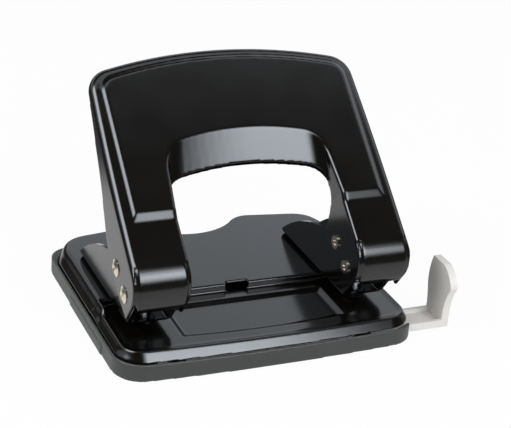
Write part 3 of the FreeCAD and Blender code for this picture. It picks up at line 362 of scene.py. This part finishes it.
def tent(graph, side, rear, up):
    """Radiance of the white tent: rear wall and roof, brighter to the right, and a dark open front."""
    wall = graph.product(
        graph.ramp(rear, *WALL_EDGE, 0.0, 1.0),
        graph.ramp(up, *WALL_TOP, 1.0, 0.0),
        graph.ramp(up, *WALL_FOOT, 0.0, 1.0),
    )
    roof = graph.product(
        graph.ramp(rear, *ROOF_FRONT, 0.0, 1.0),
        graph.ramp(rear, *ROOF_REAR, 1.0, 0.0),
        graph.ramp(up, *ROOF_FOOT, 0.0, ROOF_GAIN),
    )
    cloth = graph.product(
        graph.combine("MAXIMUM", wall, roof),
        graph.ramp(side, *RIGHT_EDGE, 1.0, RIGHT_GAIN),
    )
    return graph.combine("ADD", cloth, DARK_FRONT)


def front_window(graph, side, rear, up):
    """Radiance of the soft window in front."""
    level = graph.combine("SQRT", graph.combine("SUBTRACT", UNIT, graph.product(up, up)))
    turn = graph.combine("DIVIDE", side, level)
    return graph.product(
        graph.ramp(up, *FRONT_FOOT, 0.0, 1.0),
        graph.ramp(up, *FRONT_HEAD, 1.0, 0.0),
        graph.ramp(turn, *FRONT_LEFT, 0.0, 1.0),
        graph.ramp(turn, *FRONT_RIGHT, 1.0, 0.0),
        graph.ramp(rear, *FRONT_DEPTH, 0.0, FRONT_RADIANCE),
    )


def left_window(graph, place):
    """Radiance of the round soft window at the left."""
    aim = graph.add("ShaderNodeVectorMath", operation="DOT_PRODUCT")
    graph.join(place, aim.inputs[0])
    aim.inputs[1].default_value = toward(*LEFT_WINDOW)
    return graph.ramp(aim.outputs["Value"], *LEFT_EDGE, 0.0, LEFT_RADIANCE)


def make_world():
    """White for the camera, an even level for lighting, and a tent with two windows for mirrors."""
    world = bpy.data.worlds.new("studio")
    bpy.context.scene.world = world
    world.use_nodes = True
    graph = Graph(world.node_tree)
    place = graph.add("ShaderNodeTexCoord").outputs["Generated"]
    parts = graph.add("ShaderNodeSeparateXYZ")
    graph.join(place, parts.inputs[0])
    side, rear, up = (parts.outputs[axis] for axis in "XYZ")
    windows = graph.combine("ADD", front_window(graph, side, rear, up), left_window(graph, place))
    total = graph.combine("ADD", tent(graph, side, rear, up), windows)
    mirrored = graph.add("ShaderNodeBackground")
    colour = graph.tint(graph.ramp(total, *TINT_SPAN, 0.0, 1.0), DARK_TINT, BRIGHT_TINT)
    graph.join(colour, mirrored.inputs["Color"])
    graph.join(total, mirrored.inputs["Strength"])
    white = graph.add("ShaderNodeBackground", Color=(*WHITE, 1.0), Strength=1.0)
    ambient = graph.add("ShaderNodeBackground", Color=(*WHITE, 1.0), Strength=AMBIENT)
    path = graph.add("ShaderNodeLightPath")
    lit = graph.mix(path.outputs["Is Glossy Ray"], ambient.outputs[0], mirrored.outputs[0])
    lit = graph.mix(path.outputs["Is Camera Ray"], lit, white.outputs[0])
    output = graph.add("ShaderNodeOutputWorld")
    graph.join(lit, output.inputs["Surface"])


def softbox(name, azimuth, elevation, width, height, radiance):
    """An area lamp aimed at the object. Mirrors see the windows of the world instead of it."""
    data = bpy.data.lights.new(name, "AREA")
    data.shape = "RECTANGLE"
    data.size = width
    data.size_y = height
    data.energy = radiance * math.pi * width * height
    data.color = LAMP_COLOUR
    lamp = placed(name, data)
    lamp.location = toward(azimuth, elevation) * LAMP_DISTANCE
    lamp.visible_glossy = False
    lamp.rotation_mode = "QUATERNION"
    lamp.rotation_quaternion = (LAMP_AIM - lamp.location).to_track_quat("-Z", "Y")


def make_lamps():
    softbox("front_box", azimuth=14.0, elevation=33.0, width=0.66, height=0.48, radiance=6.0)
    softbox("left_box", *LEFT_WINDOW, width=0.46, height=0.42, radiance=7.8)


# ---------------------------------------------------------------- pressed and moulded pieces, in mm

# Outline of the steel base's foot, seen from above: straight sides, round corners and a bowed front.
# The box is in single precision, so what comes from it is rounded to the micrometre.
BASE_LOW, BASE_HIGH = (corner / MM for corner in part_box("base_plate"))
BOW = 2.0
BOW_FADE = (20.0, 40.0)
HALF_WIDTH = round(BASE_HIGH.x, 3)
FRONT_END = round(BASE_LOW.y, 3) + BOW
# The foot's rear edge, which is short of the box's.
REAR_END = 40.4
FRONT_CORNER = 9.2
REAR_CORNER = 12.3

# Section of the border from the outline inwards, as (inset, height): as packed, and as pressed at the
# front and beside the paper table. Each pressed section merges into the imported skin.
PACKED_SECTION = ((0.0, 6.1), (1.35, 8.3), (3.1, 9.2))
FRONT_SECTION = ((0.0, 6.0), (2.15, 9.2), (2.4, 9.4), (2.8, 9.42), (3.6, 9.25), (4.8, 9.05), (6.0, 9.0))
FRONT_MERGE = (4.6, 6.0)
TABLE_SECTION = (
    (-0.45, 5.9),
    (0.0, 6.8),
    (1.9, 10.5),
    (2.25, 11.1),
    (2.65, 11.55),
    (3.1, 11.76),
    (3.6, 11.8),
)
TABLE_MERGE = (2.9, 3.6)
# The front section gives way to the table's at the paper stop, and that one ends towards the rear.
STOP_Y = (-17.0, -13.5)
REAR_Y = (24.0, 38.0)
# The front section is steeper by this share at the sides.
SIDE_STEEP = 0.4
# At the sides the foot is pushed outwards by this much at the outline and by nothing at the reach.
FOOT_PUSH = 0.45
FOOT_REACH = 1.3
# Points below the seat keep their height, and points above it get the whole new section.
SEAT_Z = (5.8, 6.3)
# Above the whole base, where the rays that look for its skin start.
SKY = 20.0

# The tray's rim: where it is thinned, seen from above and by height, and by how much.
RIM_INNER = (-0.75, -0.25)
RIM_OUTER = (1.0, 2.0)
RIM_Z = (5.0, 6.0)
RIM_DROP = 0.3
RIM_THIN = 0.35

# Corners closer than this are joined.
WELD = 0.00001
# Share by which each round of smoothing moves a point.
SMOOTHING = 0.5
# The most triangles that a softened piece keeps.
FACE_BUDGET = 190000
# Keeps a division off zero.
TINY = 1e-6


def fade(values, start, stop):
    """Smooth share from 0 to 1 while the values go from start to stop."""
    share = np.clip((values - start) / (stop - start), 0.0, 1.0)
    return share * share * (3.0 - 2.0 * share)


def inset_of(place):
    """How far points lie inside the steel base's outline, seen from above, and the way outwards there."""
    x, y = place[:, 0], place[:, 1]
    bow = BOW * (1.0 - (x / HALF_WIDTH) ** 2) * fade(-y, *BOW_FADE)
    middle = (FRONT_END + REAR_END) / 2
    corner = np.where(y < middle, FRONT_CORNER, REAR_CORNER)
    reach_x = np.abs(x) - (HALF_WIDTH - corner)
    reach_y = np.abs(y + bow - middle) - ((REAR_END - FRONT_END) / 2 - corner)
    outer_x, outer_y = np.maximum(reach_x, 0.0), np.maximum(reach_y, 0.0)
    far = np.hypot(outer_x, outer_y)
    inset = corner - far - np.minimum(np.maximum(reach_x, reach_y), 0.0)
    way_x = outer_x / np.maximum(far, TINY) * np.sign(x)
    way_y = outer_y / np.maximum(far, TINY) * np.sign(y - middle)
    return inset, way_x, way_y


def skin_height(tree, place, inset, near):
    """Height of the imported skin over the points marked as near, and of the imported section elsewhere."""
    height = np.interp(inset, *zip(*PACKED_SECTION))
    for index in np.flatnonzero(near):
        x, y = place[index, :2] * MM
        hit = tree.ray_cast((x, y, SKY * MM), (0.0, 0.0, -1.0))[0]
        if hit:
            height[index] = hit.z / MM
    return height


def press_base(place, tree):
    """Gives the steel base the pressed section of its border: leaning walls and a raised front edge."""
    inset, way_x, _ = inset_of(place)
    y, z = place[:, 1], place[:, 2]
    packed = skin_height(tree, place, inset, (inset < FRONT_MERGE[1]) & (y < REAR_Y[1]))
    steep = inset * (1.0 + SIDE_STEEP * way_x * way_x)
    front = (np.interp(steep, *zip(*FRONT_SECTION)) - packed) * (1.0 - fade(inset, *FRONT_MERGE))
    table = (np.interp(inset, *zip(*TABLE_SECTION)) - packed) * (1.0 - fade(inset, *TABLE_MERGE))
    behind = fade(y, *STOP_Y)
    keep = 1.0 - fade(y, *REAR_Y)
    push = FOOT_PUSH * (1.0 - fade(inset, 0.0, FOOT_REACH)) * keep * way_x * way_x
    place[:, 2] += (front * (1.0 - behind) + table * behind) * keep * fade(z, *SEAT_Z)
    place[:, 0] += way_x * push


def thin_rim(place, _):
    """Thins and lowers the tray's rim round the steel base."""
    inset, way_x, way_y = inset_of(place)
    high = fade(place[:, 2], *RIM_Z)
    band = fade(inset, *RIM_INNER) * (1.0 - fade(inset, *RIM_OUTER))
    place[:, 0] += way_x * RIM_THIN * high * band
    place[:, 1] += way_y * RIM_THIN * high * band
    place[:, 2] -= RIM_DROP * high


def welded(node):
    """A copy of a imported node's mesh with its split corners joined."""
    mesh = NODES[node].data.copy()
    form = bmesh.new()
    form.from_mesh(mesh)
    bmesh.ops.remove_doubles(form, verts=form.verts, dist=WELD * MM)
    form.to_mesh(mesh)
    form.free()
    return mesh


def applied(mesh, kind, **settings):
    """The mesh with one modifier applied."""
    carrier = placed("carrier", mesh)
    modifier = carrier.modifiers.new(kind, kind)
    for name, value in settings.items():
        setattr(modifier, name, value)
    bpy.context.view_layer.update()
    made = bpy.data.meshes.new_from_object(carrier.evaluated_get(bpy.context.evaluated_depsgraph_get()))
    bpy.data.objects.remove(carrier)
    return made


def reshaped(mesh, node, reshape):
    """Moves the mesh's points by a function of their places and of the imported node's surface."""
    tree = BVHTree.FromObject(NODES[node], bpy.context.evaluated_depsgraph_get())
    place = np.empty(len(mesh.vertices) * 3, dtype=np.float32)
    mesh.vertices.foreach_get("co", place)
    place = place.reshape(-1, 3) / MM
    reshape(place, tree)
    mesh.vertices.foreach_set("co", (place * MM).ravel())


def stand_in(piece, node):
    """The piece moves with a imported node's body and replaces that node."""
    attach(piece, BODY_OF[node])
    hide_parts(node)


def softened(name, node, voxel, rounds, reshape=None):
    """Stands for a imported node: the same solid with the soft creases of pressed sheet or a moulding."""
    mesh = applied(welded(node), "REMESH", mode="VOXEL", voxel_size=voxel * MM)
    if reshape:
        reshaped(mesh, node, reshape)
    mesh = applied(mesh, "SMOOTH", factor=SMOOTHING, iterations=rounds)
    triangles = 2 * len(mesh.polygons)
    mesh = applied(mesh, "DECIMATE", ratio=min(1.0, FACE_BUDGET / triangles))
    mesh.polygons.foreach_set("use_smooth", [True] * len(mesh.polygons))
    mesh.materials.clear()
    mesh.materials.append(NODES[node].material_slots[0].material)
    stand_in(placed(name, mesh), node)


# ---------------------------------------------------------------- return springs


def compressed(side):
    """The return spring on its bracket: a copy of the imported coil that takes its place and moves with its
    body.
    """
    node = NODES["spring_" + side]
    spring = placed("coil_" + side, node.data.copy())
    spring.matrix_world = node.matrix_world
    stand_in(spring, "spring_" + side)
    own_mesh(spring)


make_camera()
make_world()
make_floor()
make_lamps()
dress()
softened("lever_shell", "lever", voxel=0.4, rounds=4)
softened("base_shell", "base_plate", voxel=0.33, rounds=5, reshape=press_base)
softened("tray_moulding", "chip_tray", voxel=0.35, rounds=5, reshape=thin_rim)
for side in ("left", "right"):
    compressed(side)

bpy.context.scene.view_settings.view_transform = "Standard"
